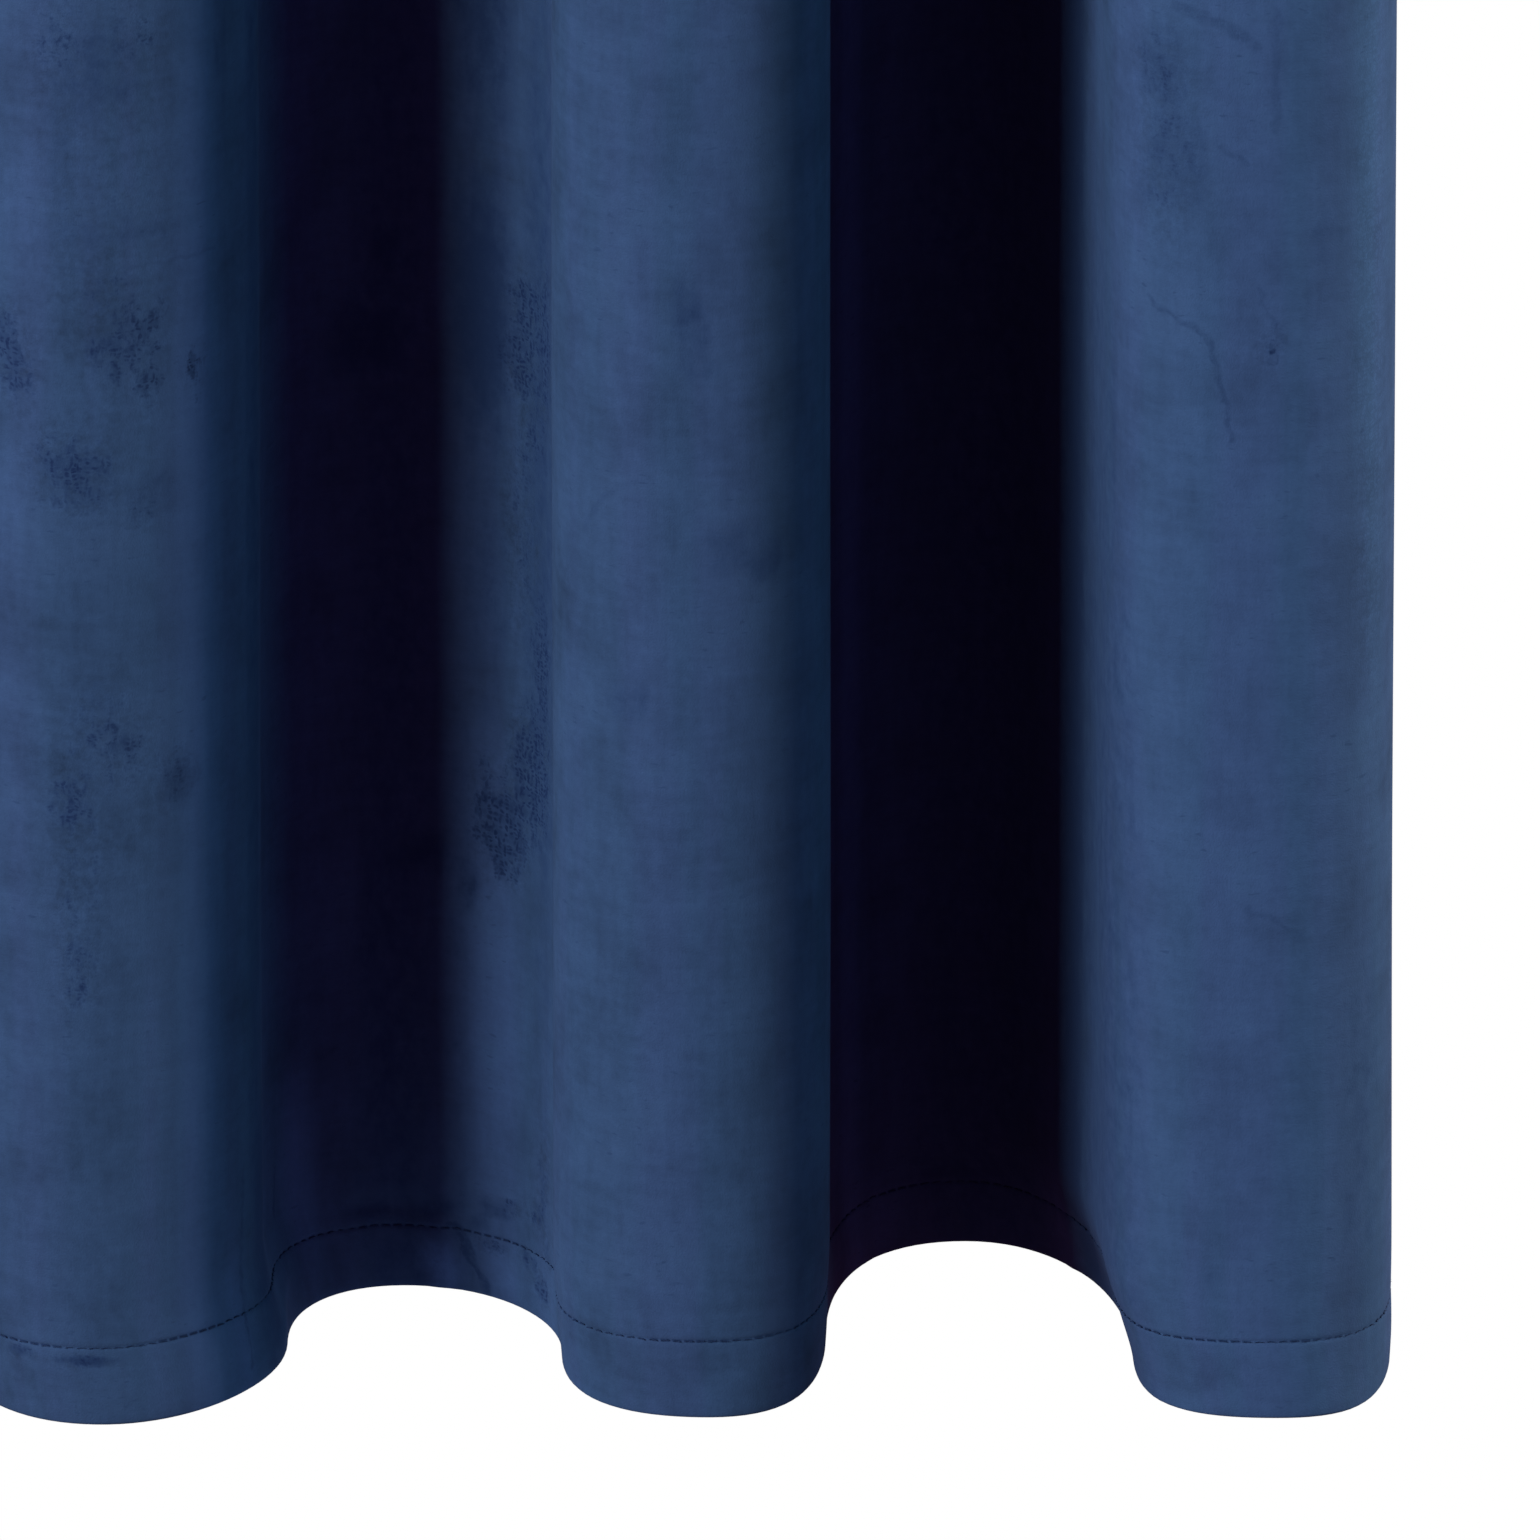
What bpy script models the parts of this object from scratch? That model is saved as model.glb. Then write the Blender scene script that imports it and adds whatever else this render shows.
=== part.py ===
# Hanging curtain panel: one sheet of pile cloth in deep upright folds, with a turned
# hem on all four sides. The folds face -Y. The origin is the middle of the top edge,
# on the line that the panel hangs from, halfway through the depth of the folds.

import bisect
from collections import namedtuple

import bmesh
import bpy
from mathutils import Vector

MM = 0.001

# Driving dimensions of the panel, in millimetres.
DROP = 2134.0
HANGING_LINE = 60.0
CLOTH_THICKNESS = 1.2
HEM_THICKNESS = 3.0
BOTTOM_HEM = 27.5
SIDE_HEM = 25.0
TOP_HEM = 30.0
HEM_STEP = 2.0

# How the folds change over the drop, as heights above the bottom edge. The hem
# flares and pulls in below the first height, and the folds that hang unevenly at
# the foot become even between the other two.
FLARE_END = 45.0
EVENING_START = 700.0
EVENING_END = 2050.0
EVENING_ROWS = 5

# Mesh spacing across the cloth, and the samples taken of each curved stretch.
COLUMN_SPACING = 10.0
STRETCH_SAMPLES = 48

CLOTH_COLOUR = (0.026, 0.066, 0.158, 1.0)
CLOTH_ROUGHNESS = 0.82

# The folds seen from above, left to right, in millimetres. A front or back point is
# the ridge of a fold, a wall point is where the cloth runs between them, and the
# edges are the two upright side edges. hem, body and top are the point's place
# across the panel at the hem, above it and at the top edge, and back is its distance
# behind the front folds. full is how squarely the stretch after it bulges, and lean
# is how far a wall tucks in under its front fold for each millimetre of depth.
Fold = namedtuple("Fold", "kind hem body top back full lean")
FOLDS = (
    Fold("edge", -323.0, -321.0, -324.0, 107.0, 0.40, 0.00),
    Fold("wall", -328.0, -329.0, -328.0, 52.0, 0.66, 0.02),
    Fold("front", -288.0, -287.0, -286.5, 0.0, 0.60, 0.00),
    Fold("wall", -243.0, -240.0, -239.0, 58.0, 0.60, 0.08),
    Fold("back", -193.0, -193.0, -191.0, 122.0, 0.57, 0.00),
    Fold("wall", -146.0, -150.0, -143.0, 56.0, 0.60, 0.06),
    Fold("front", -96.4, -100.0, -95.5, -4.0, 0.50, 0.00),
    Fold("wall", -36.0, -44.0, -47.5, 57.0, 0.62, 0.10),
    Fold("back", 3.3, 0.0, 0.0, 103.0, 0.55, 0.00),
    Fold("wall", 55.1, 52.6, 48.0, 49.0, 0.65, 0.12),
    Fold("front", 103.3, 101.0, 95.5, 1.5, 0.68, 0.00),
    Fold("wall", 142.2, 142.9, 143.0, 62.0, 0.65, 0.10),
    Fold("back", 188.8, 186.0, 191.0, 137.0, 0.55, 0.00),
    Fold("wall", 243.5, 232.5, 239.0, 51.0, 0.74, -0.08),
    Fold("front", 291.4, 286.0, 286.5, 1.0, 0.74, 0.00),
    Fold("wall", 328.4, 328.9, 328.0, 53.0, 0.66, 0.02),
    Fold("edge", 323.0, 321.0, 324.0, 109.0, 0.40, 0.00),
)
STRETCHES = range(len(FOLDS) - 1)


def clear_scene():
    """Remove every object that is already in the file."""
    for old in list(bpy.data.objects):
        bpy.data.objects.remove(old, do_unlink=True)


def make_cloth_material():
    """Deep blue pile cloth, soft and without gloss."""
    material = bpy.data.materials.new("pile_cloth")
    material.use_nodes = True
    shader = material.node_tree.nodes["Principled BSDF"]
    shader.inputs["Base Color"].default_value = CLOTH_COLOUR
    shader.inputs["Roughness"].default_value = CLOTH_ROUGHNESS
    shader.inputs["Metallic"].default_value = 0.0
    return material


def ease(value, start, end):
    """Rise smoothly from 0 at start to 1 at end."""
    share = min(1.0, max(0.0, (value - start) / (end - start)))
    return share * share * (3.0 - 2.0 * share)


def place_at(fold, height):
    """The fold point seen from above at a height over the bottom edge."""
    across = fold.hem + (fold.body - fold.hem) * ease(height, 0.0, FLARE_END)
    across += (fold.top - across) * ease(height, EVENING_START, EVENING_END)
    return Vector((across, fold.back))


def direction_at(index, height):
    """Which way the cloth runs through a fold point, along its main run or depth."""
    fold = FOLDS[index]
    if fold.kind in ("front", "back"):
        return Vector((1.0, 0.0))
    if fold.kind == "edge":
        beside = place_at(FOLDS[1 if index == 0 else -2], height)
        run = beside - place_at(fold, height)
        return run / abs(run.y) * (1.0 if index == 0 else -1.0)
    settled = ease(height, 0.0, FLARE_END) * (1.0 - ease(height, EVENING_START, EVENING_END))
    towards_back = FOLDS[index + 1].back > fold.back
    return Vector((-fold.lean * settled, 1.0 if towards_back else -1.0))


def curve_handle(index, neighbour, full, height):
    """The curve handle of one fold point on the side of its neighbour."""
    here = place_at(FOLDS[index], height)
    run = place_at(FOLDS[neighbour], height) - here
    reach = abs(run.x) if FOLDS[index].kind in ("front", "back") else abs(run.y)
    side = 1.0 if neighbour > index else -1.0
    return here + direction_at(index, height) * reach * full * side


def stretch_points(index, height):
    """Sample the curved stretch between a fold point and the next."""
    full = FOLDS[index].full
    start = place_at(FOLDS[index], height)
    leaving = curve_handle(index, index + 1, full, height)
    arriving = curve_handle(index + 1, index, full, height)
    end = place_at(FOLDS[index + 1], height)
    points = []
    for step in range(STRETCH_SAMPLES + 1):
        t = step / STRETCH_SAMPLES
        u = 1.0 - t
        near_start = start * u**3 + leaving * 3.0 * u * u * t
        points.append(near_start + arriving * 3.0 * u * t * t + end * t**3)
    return points


def running_lengths(points):
    """Distance along a line of points, from its first point to each of them."""
    lengths = [0.0]
    for before, after in zip(points, points[1:]):
        lengths.append(lengths[-1] + (after - before).length)
    return lengths


def point_along(points, lengths, share):
    """The point at a share of a sampled stretch's length."""
    wanted = share * lengths[-1]
    index = min(bisect.bisect_right(lengths, wanted), len(points) - 1)
    span = lengths[index] - lengths[index - 1]
    return points[index - 1].lerp(points[index], (wanted - lengths[index - 1]) / span)


def column_stations(flat_width):
    """Places of the mesh columns over the flat cloth, with a step at each side hem."""
    left = [0.0, SIDE_HEM / 2, SIDE_HEM, SIDE_HEM + HEM_STEP]
    right = [flat_width - station for station in reversed(left)]
    count = round((right[0] - left[-1]) / COLUMN_SPACING)
    spacing = (right[0] - left[-1]) / count
    middle = [left[-1] + spacing * step for step in range(1, count)]
    return left + middle + right


def row_heights():
    """Heights of the mesh rows over the bottom edge, closer where the folds change."""
    foot = [0.0, BOTTOM_HEM / 2, BOTTOM_HEM, BOTTOM_HEM + HEM_STEP, FLARE_END]
    body = [2.0 * FLARE_END, (FLARE_END + EVENING_START) / 2, EVENING_START]
    rise = (EVENING_END - EVENING_START) / EVENING_ROWS
    evening = [EVENING_START + rise * step for step in range(1, EVENING_ROWS + 1)]
    top = [DROP - TOP_HEM - HEM_STEP, DROP - TOP_HEM, DROP - TOP_HEM / 2, DROP]
    return foot + body + evening + top


def locate_stations(stations, stretch_lengths):
    """Turn each station into its stretch, and the share of that stretch before it."""
    starts = [0.0]
    for length in stretch_lengths:
        starts.append(starts[-1] + length)
    located = []
    for station in stations:
        index = min(bisect.bisect_right(starts, station), len(stretch_lengths)) - 1
        located.append((index, min(1.0, (station - starts[index]) / stretch_lengths[index])))
    return located


def hang_row(height, located):
    """The hanging places of one level row of the cloth's points."""
    plans = []
    for index in STRETCHES:
        points = stretch_points(index, height)
        plans.append((points, running_lengths(points)))
    row = []
    for index, share in located:
        points, lengths = plans[index]
        plan = point_along(points, lengths, share)
        row.append(Vector((plan.x, plan.y - HANGING_LINE, height - DROP)) * MM)
    return row


def is_hem(station, flat_width, height):
    """Whether a place on the flat cloth lies in one of its four turned hems."""
    from_side = min(station, flat_width - station)
    from_top = DROP - height
    half_step = HEM_STEP / 2
    in_side_hem = from_side < SIDE_HEM + half_step
    return in_side_hem or height < BOTTOM_HEM + half_step or from_top < TOP_HEM + half_step


def hang_cloth(mesh):
    """Cut the flat cloth as a grid, hang it in its folds and list its hem points."""
    lengths = [running_lengths(stretch_points(index, EVENING_START))[-1] for index in STRETCHES]
    flat_width = sum(lengths)
    stations = column_stations(flat_width)
    located = locate_stations(stations, lengths)
    heights = row_heights()
    hanging = [hang_row(height, located) for height in heights]
    print("flat cloth", round(flat_width), "by", round(DROP), "mm")

    last_column = len(stations) - 1
    last_row = len(heights) - 1
    cloth = bmesh.new()
    bmesh.ops.create_grid(cloth, x_segments=last_column, y_segments=last_row, size=1.0)
    hem_points = []
    for index, vert in enumerate(cloth.verts):
        column = round((vert.co.x + 1.0) / 2.0 * last_column)
        row = round((vert.co.y + 1.0) / 2.0 * last_row)
        vert.co = hanging[row][column]
        if is_hem(stations[column], flat_width, heights[row]):
            hem_points.append(index)
    for face in cloth.faces:
        face.smooth = True
    cloth.normal_update()
    cloth.to_mesh(mesh)
    cloth.free()
    return hem_points


def make_panel(collection):
    """Make the curtain's one piece of cloth, thicker along its turned hems."""
    mesh = bpy.data.meshes.new("curtain_panel")
    hem_points = hang_cloth(mesh)
    mesh.materials.append(make_cloth_material())
    panel = bpy.data.objects.new("curtain_panel", mesh)
    collection.objects.link(panel)
    hems = panel.vertex_groups.new(name="hems")
    hems.add(hem_points, 1.0, "REPLACE")

    thickness = panel.modifiers.new("cloth_thickness", "SOLIDIFY")
    thickness.thickness = HEM_THICKNESS * MM
    thickness.offset = -1.0
    thickness.vertex_group = hems.name
    thickness.thickness_vertex_group = CLOTH_THICKNESS / HEM_THICKNESS


def main():
    """Build the curtain in a collection of its own."""
    clear_scene()
    collection = bpy.data.collections.new("curtain")
    bpy.context.scene.collection.children.link(collection)
    make_panel(collection)


main()
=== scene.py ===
# Velvet curtain panel: pile cloth in deep upright folds, with sewn hems.
import math
from collections import namedtuple
import bpy
import numpy as np
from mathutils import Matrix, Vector


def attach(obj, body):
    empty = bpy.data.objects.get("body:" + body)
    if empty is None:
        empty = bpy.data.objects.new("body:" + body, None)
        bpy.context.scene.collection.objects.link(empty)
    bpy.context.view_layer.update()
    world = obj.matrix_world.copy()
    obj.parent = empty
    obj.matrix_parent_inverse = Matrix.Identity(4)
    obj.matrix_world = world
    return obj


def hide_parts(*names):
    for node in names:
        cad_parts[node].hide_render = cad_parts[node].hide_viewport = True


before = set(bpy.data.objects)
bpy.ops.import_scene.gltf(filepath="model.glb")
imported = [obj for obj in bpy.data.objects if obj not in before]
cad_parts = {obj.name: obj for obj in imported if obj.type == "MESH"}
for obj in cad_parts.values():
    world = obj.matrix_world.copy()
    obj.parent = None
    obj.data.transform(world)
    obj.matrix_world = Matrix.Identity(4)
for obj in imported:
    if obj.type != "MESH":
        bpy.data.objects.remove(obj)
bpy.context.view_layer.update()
mm = 0.001


# Shader desk: one class for sockets, so that shader maths reads as Python.

class Value:
    def __init__(self, desk, socket):
        self.desk = desk
        self.socket = socket

    def isVector(self):
        return self.socket.type in ("VECTOR", "RGBA")

    def combine(self, operation, other, flipped=False):
        wide = self.isVector() or isinstance(other, tuple)
        wide = wide or (isinstance(other, Value) and other.isVector())
        if wide and isinstance(other, (int, float)):
            other = (other,) * 3
        kind = "ShaderNodeVectorMath" if wide else "ShaderNodeMath"
        pair = (other, self) if flipped else (self, other)
        return self.desk.node(kind, {"operation": operation}, {0: pair[0], 1: pair[1]})

    def __add__(self, other):
        return self.combine("ADD", other)

    def __radd__(self, other):
        return self.combine("ADD", other)

    def __sub__(self, other):
        return self.combine("SUBTRACT", other)

    def __rsub__(self, other):
        return self.combine("SUBTRACT", other, flipped=True)

    def __mul__(self, other):
        return self.combine("MULTIPLY", other)

    def __rmul__(self, other):
        return self.combine("MULTIPLY", other)

    def sine(self):
        return self.desk.node("ShaderNodeMath", {"operation": "SINE"}, {0: self})

    def also(self, output):  # another output of the same node
        return Value(self.desk, self.socket.node.outputs[output])

    def least(self, other):
        return self.combine("MINIMUM", other)

    def most(self, other):
        return self.combine("MAXIMUM", other)

    def part(self, axis):
        return self.desk.node("ShaderNodeSeparateXYZ", {}, {0: self}, output=axis)

    def between(self, low, high):  # 0 at low, 1 at high, smooth in between
        settings = {"interpolation_type": "SMOOTHSTEP"}
        inputs = {"Value": self, "From Min": low, "From Max": high}
        return self.desk.node("ShaderNodeMapRange", settings, inputs)


class NodeDesk:
    def __init__(self, tree):
        self.tree = tree
        tree.nodes.clear()

    def node(self, kind, settings, inputs, output=0):
        made = self.tree.nodes.new(kind)
        for name, setting in settings.items():
            setattr(made, name, setting)
        for key, given in inputs.items():
            socket = made.inputs[key]
            if isinstance(given, Value):
                self.tree.links.new(given.socket, socket)
            else:
                socket.default_value = given
        return Value(self, made.outputs[output]) if made.outputs else made

    def cloud(self, flat, across, up, scale, detail, roughness):  # soft noise, about 0.5 all over
        place = flat * (across, up, 1.0)
        inputs = {"Vector": place, "Scale": scale, "Detail": detail, "Roughness": roughness}
        return self.node("ShaderNodeTexNoise", {"noise_dimensions": "2D"}, inputs)

    def spots(self, flat, stretch, pitch, randomness):  # distance from scattered spots
        place = flat * (1.0, stretch, 1.0)
        inputs = {"Vector": place, "Scale": 1 / pitch, "Randomness": randomness}
        return self.node("ShaderNodeTexVoronoi", {"voronoi_dimensions": "2D"}, inputs)

    def blend(self, share, first, second):  # mix of two colours
        inputs = {"Factor": share, 6: first, 7: second}
        return self.node("ShaderNodeMix", {"data_type": "RGBA"}, inputs, output=2)

    def flatPlace(self):  # where a point lies on the flat cloth, in metres
        return self.node("ShaderNodeUVMap", {"uv_map": "flatCloth"}, {})

    def pointValue(self, name):  # a number that the mesh keeps for each point
        settings = {"attribute_name": name}
        return self.node("ShaderNodeAttribute", settings, {}, output="Fac")

    def measure(self, operation, first, second):  # a number from two vectors
        settings = {"operation": operation}
        return self.node("ShaderNodeVectorMath", settings, {0: first, 1: second}, output=1)

    def bump(self, height, strength, distance):
        inputs = {"Strength": strength, "Distance": distance, "Height": height}
        return self.node("ShaderNodeBump", {}, inputs)

    def finishSurface(self, inputs):
        shader = self.node("ShaderNodeBsdfPrincipled", {}, inputs)
        self.node("ShaderNodeOutputMaterial", {}, {"Surface": shader})


def newMaterial(name):
    material = bpy.data.materials.new(name)
    material.use_nodes = True
    return material, NodeDesk(material.node_tree)


def addToScene(name, data):
    piece = bpy.data.objects.new(name, data)
    bpy.context.scene.collection.objects.link(piece)
    return piece


# The hung cloth: its folds seen from above, and every point's hanging place.

clothSizes = {
    "drop": 2134 * mm,
    "hangingLine": 60 * mm,  # from the front folds back to the line it hangs from
    "clothThickness": 1.2 * mm,
    "hemThickness": 3.0 * mm,
    "sideHem": 25 * mm,
    "topHem": 30 * mm,
    "hemStep": 1.5 * mm,  # width over which a hem thins out to the cloth
    "hemAtFront": 28.3 * mm,  # height of the sewn line, at the front folds
    "hemAtBack": 22.4 * mm,  # and at the back folds
    "backFoldDepth": 105 * mm,
    "flareEnd": 45 * mm,  # the hem flares and pulls in below this height
    "eveningStart": 700 * mm,  # from here up the folds become even
    "eveningEnd": 2050 * mm,
}

# A row for each ridge, each wall between ridges and each side edge, left to right, in
# millimetres: place across at the hem, over it and at the top, distance behind the
# front folds, how squarely the next stretch bulges, and how far the wall tucks in.
FoldPoint = namedtuple("FoldPoint", "kind hem body top back full lean")
foldPoints = (
    FoldPoint("edge", -323.0, -321.0, -324.0, 107.0, 0.40, 0.00),
    FoldPoint("wall", -328.0, -329.0, -328.0, 52.0, 0.66, 0.02),
    FoldPoint("front", -288.0, -287.0, -286.5, 0.0, 0.60, 0.00),
    FoldPoint("wall", -243.0, -240.0, -239.0, 58.0, 0.60, 0.08),
    FoldPoint("back", -193.0, -193.0, -191.0, 122.0, 0.57, 0.00),
    FoldPoint("wall", -146.0, -150.0, -143.0, 56.0, 0.60, 0.06),
    FoldPoint("front", -96.4, -100.0, -95.5, -4.0, 0.50, 0.00),
    FoldPoint("wall", -36.0, -44.0, -47.5, 57.0, 0.62, 0.10),
    FoldPoint("back", 3.3, 0.0, 0.0, 103.0, 0.55, 0.00),
    FoldPoint("wall", 55.1, 52.6, 48.0, 49.0, 0.65, 0.12),
    FoldPoint("front", 103.3, 101.0, 95.5, 1.5, 0.68, 0.00),
    FoldPoint("wall", 142.2, 142.9, 143.0, 62.0, 0.65, 0.10),
    FoldPoint("back", 188.8, 186.0, 191.0, 137.0, 0.55, 0.00),
    FoldPoint("wall", 243.5, 232.5, 239.0, 51.0, 0.74, -0.08),
    FoldPoint("front", 291.4, 286.0, 286.5, 1.0, 0.74, 0.00),
    FoldPoint("wall", 328.4, 328.9, 328.0, 53.0, 0.66, 0.02),
    FoldPoint("edge", 323.0, 321.0, 324.0, 109.0, 0.40, 0.00),
)
stretches = range(len(foldPoints) - 1)


def smooth(share):
    return share * share * (3 - 2 * share)


def ease(value, start, end):  # rises softly from 0 at start to 1 at end
    return smooth(np.clip((value - start) / (end - start), 0.0, 1.0))


def foldPlace(fold, height):
    across = fold.hem + (fold.body - fold.hem) * ease(height, 0.0, clothSizes["flareEnd"])
    evened = ease(height, clothSizes["eveningStart"], clothSizes["eveningEnd"])
    return np.array((across + (fold.top - across) * evened, fold.back)) * mm


def foldDirection(index, height):
    fold = foldPoints[index]
    if fold.kind in ("front", "back"):
        return np.array((1.0, 0.0))
    if fold.kind == "edge":
        beside = foldPlace(foldPoints[1 if index == 0 else -2], height)
        run = beside - foldPlace(fold, height)
        return run / abs(run[1]) * (1.0 if index == 0 else -1.0)
    settled = ease(height, 0.0, clothSizes["flareEnd"])
    settled *= 1.0 - ease(height, clothSizes["eveningStart"], clothSizes["eveningEnd"])
    towardsBack = foldPoints[index + 1].back > fold.back
    return np.array((-fold.lean * settled, 1.0 if towardsBack else -1.0))


def foldHandle(index, neighbour, full, height):
    here = foldPlace(foldPoints[index], height)
    run = foldPlace(foldPoints[neighbour], height) - here
    reach = abs(run[0]) if foldPoints[index].kind in ("front", "back") else abs(run[1])
    return here + foldDirection(index, height) * reach * full * np.sign(neighbour - index)


def stretchCurve(index, height, samples=96):
    full = foldPoints[index].full
    start = foldPlace(foldPoints[index], height)
    leaving = foldHandle(index, index + 1, full, height)
    arriving = foldHandle(index + 1, index, full, height)
    end = foldPlace(foldPoints[index + 1], height)
    t = np.linspace(0.0, 1.0, samples)[:, None]
    u = 1.0 - t
    points = start * u**3 + leaving * 3 * u * u * t + arriving * 3 * u * t * t + end * t**3
    steps = np.linalg.norm(np.diff(points, axis=0), axis=1)
    return points, np.concatenate(([0.0], np.cumsum(steps)))


class HungCloth:  # finds the hanging place of any point of the flat cloth
    spacing = 1 * mm
    footRows = 19
    eveningRows = 28
    slack = 1e-9

    def __init__(self):
        lengths = [stretchCurve(i, clothSizes["eveningStart"])[1][-1] for i in stretches]
        self.starts = np.concatenate(([0.0], np.cumsum(lengths)))
        self.width = self.starts[-1]
        self.stations = np.linspace(0.0, self.width, round(self.width / self.spacing) + 1)
        foot = np.linspace(0.0, clothSizes["flareEnd"], self.footRows)
        evening = clothSizes["eveningStart"], clothSizes["eveningEnd"]
        body = np.linspace(*evening, self.eveningRows)
        self.heights = np.concatenate((foot, body, [clothSizes["drop"]]))
        rows = [self.planRow(height) for height in self.heights]
        self.points = np.array(rows)
        along = np.gradient(self.points, axis=1)
        along /= np.linalg.norm(along, axis=2, keepdims=True)
        self.normals = np.stack((along[..., 1], -along[..., 0]), axis=2)

    def planRow(self, height):
        row = np.zeros((len(self.stations), 2))
        for index in stretches:
            points, lengths = stretchCurve(index, height)
            first, last = self.starts[index], self.starts[index + 1]
            here = self.stations >= first - self.slack
            here &= self.stations <= last + self.slack
            share = np.clip((self.stations[here] - first) / (last - first), 0.0, 1.0)
            for axis in (0, 1):
                row[here, axis] = np.interp(share * lengths[-1], lengths, points[:, axis])
        row[:, 1] -= clothSizes["hangingLine"]
        return row

    def read(self, table, station, height):
        column = np.clip(station / self.width, 0.0, 1.0) * (len(self.stations) - 1)
        left = np.minimum(column.astype(int), len(self.stations) - 2)
        across = (column - left)[..., None]
        above = np.searchsorted(self.heights, height, side="right")
        low = np.clip(above - 1, 0, len(self.heights) - 2)
        gap = self.heights[low + 1] - self.heights[low]
        up = ((height - self.heights[low]) / gap)[..., None]
        bottom = table[low, left] * (1 - across) + table[low, left + 1] * across
        top = table[low + 1, left] * (1 - across) + table[low + 1, left + 1] * across
        return bottom * (1 - up) + top * up

    def place(self, station, height, out):
        plan = self.read(self.points, station, height)
        plan = plan + self.read(self.normals, station, height) * out[..., None]
        return np.concatenate((plan, (height - clothSizes["drop"])[..., None]), axis=-1)

    def facing(self, across, height):  # the cloth that shows from the front, at a place across
        row = self.read(self.points, self.stations, np.full_like(self.stations, height))
        side = row[:, 0] - across
        crossings = np.where(side[:-1] * side[1:] <= 0)[0]
        nearest = crossings[np.argmin(row[crossings, 1])]
        share = side[nearest] / (side[nearest] - side[nearest + 1])
        return self.stations[nearest] + share * (self.stations[1] - self.stations[0])

    def hemLine(self, station):  # height of the sewn line over the bottom edge
        row = self.points[0, :, 1] + clothSizes["hangingLine"]
        behind = np.interp(station, self.stations, row)
        depth = np.clip(behind / clothSizes["backFoldDepth"], 0.0, 1.0)
        front, back = clothSizes["hemAtFront"], clothSizes["hemAtBack"]
        return front + (back - front) * depth


# Relief of the cloth's face: sewn trough, puckers, puffed hem and a few creases.

reliefSizes = {
    "troughDepth": 0.32 * mm,
    "troughWidth": 0.75 * mm,
    "hemPuff": 0.45 * mm,
    "puckerDepth": 0.40 * mm,
    "puckerReachUp": 8 * mm,
    "puckerReachDown": 12 * mm,
    "puckerSlant": 0.45,  # most that a pucker strays sideways over its height
    "slantSpacing": 60 * mm,
    "finePuckers": 7 * mm,  # spacing
    "broadPuckers": 15 * mm,
    "puckerChange": 45 * mm,  # spacing of weaker and stronger puckers
    "puckerShare": 0.6,  # of each kind, and of their change
    "bodyWave": 0.35 * mm,
    "bodyWaveWide": 38 * mm,
    "bodyWaveTall": 190 * mm,
    "onBack": 0.5,  # share of the face's relief that shows on the back
    "seed": 7,
}

# Soft creases: where each runs from and to as seen from the front (across, height),
# then its depth and half width, all in millimetres. A minus depth is a raised ridge.
creases = (
    (-18, 31, 24, 28, 1.3, 4.0),
    (19, 23, 26, 5, 1.6, 3.2),
    (12, 21, 15, 0, -1.5, 4.0),
    (29, 19, 37, 8, 1.0, 2.6),
    (48, 17, 51, 4, 0.9, 2.4),
    (-39, 58, -39, 34, 1.2, 2.6),
    (-46, 22, -46, 8, 1.2, 3.0),
    (-36, 20, -38, 8, -0.7, 3.0),
    (-22, 22, -20, 6, 0.8, 3.0),
    (-6, 24, -4, 6, 0.7, 3.5),
    (229, 24, 232, 6, 1.1, 3.0),
    (222, 21, 224, 0, -1.0, 3.5),
    (158, 24, 160, 0, 0.9, 3.5),
    (255, 3, 279, 15, 0.8, 5.0),
    (96, 12, 116, 20, 0.6, 5.0),
    (268, 58, 272, 44, 0.6, 4.5),
)


latticeSizes = {
    "knots": 4096,
    "rowShift": 37.7,  # how far each row's knots are shifted from the last one's
    "rowWrap": 911,
}


def lattice(place, seed):  # smooth random wave of about -1 to 1, one knot a unit
    count = latticeSizes["knots"]
    knots = np.random.default_rng(seed).uniform(-1.0, 1.0, count)
    low = np.floor(place).astype(int)
    share = smooth(place - low)
    return knots[low % count] * (1 - share) + knots[(low + 1) % count] * share


def latticePlane(x, y, seed):
    shift, wrap = latticeSizes["rowShift"], latticeSizes["rowWrap"]
    low = np.floor(y).astype(int)
    share = smooth(y - low)
    below = lattice(x + (low * shift) % wrap, seed)
    above = lattice(x + ((low + 1) * shift) % wrap, seed)
    return below * (1 - share) + above * share


def creaseDepth(station, height, cloth):
    total = np.zeros_like(station)
    for acrossA, heightA, acrossB, heightB, depth, width in np.array(creases) * mm:
        start = cloth.facing(acrossA, heightA)
        run = np.array((cloth.facing(acrossB, heightB) - start, heightB - heightA))
        length = np.linalg.norm(run)
        run /= length
        along = (station - start) * run[0] + (height - heightA) * run[1]
        aside = (station - start) * run[1] - (height - heightA) * run[0]
        ends = ease(along, -width, width) * (1 - ease(along, length - width, length + width))
        total += depth * ends * np.exp(-((aside / width) ** 2))
    return total


def puckers(station, gap):
    seed = reliefSizes["seed"]
    share = reliefSizes["puckerShare"]
    reach = np.where(gap > 0, reliefSizes["puckerReachUp"], reliefSizes["puckerReachDown"])
    slant = lattice(station / reliefSizes["slantSpacing"], seed)
    slanted = station + gap * reliefSizes["puckerSlant"] * slant
    ripple = lattice(slanted / reliefSizes["finePuckers"], seed + 1) * share
    ripple = ripple + lattice(slanted / reliefSizes["broadPuckers"], seed + 2) * share
    change = lattice(station / reliefSizes["puckerChange"], seed + 3)
    ripple = ripple * (share + share * change)
    return ripple * np.exp(-np.abs(gap) / reach) * reliefSizes["puckerDepth"]


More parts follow.
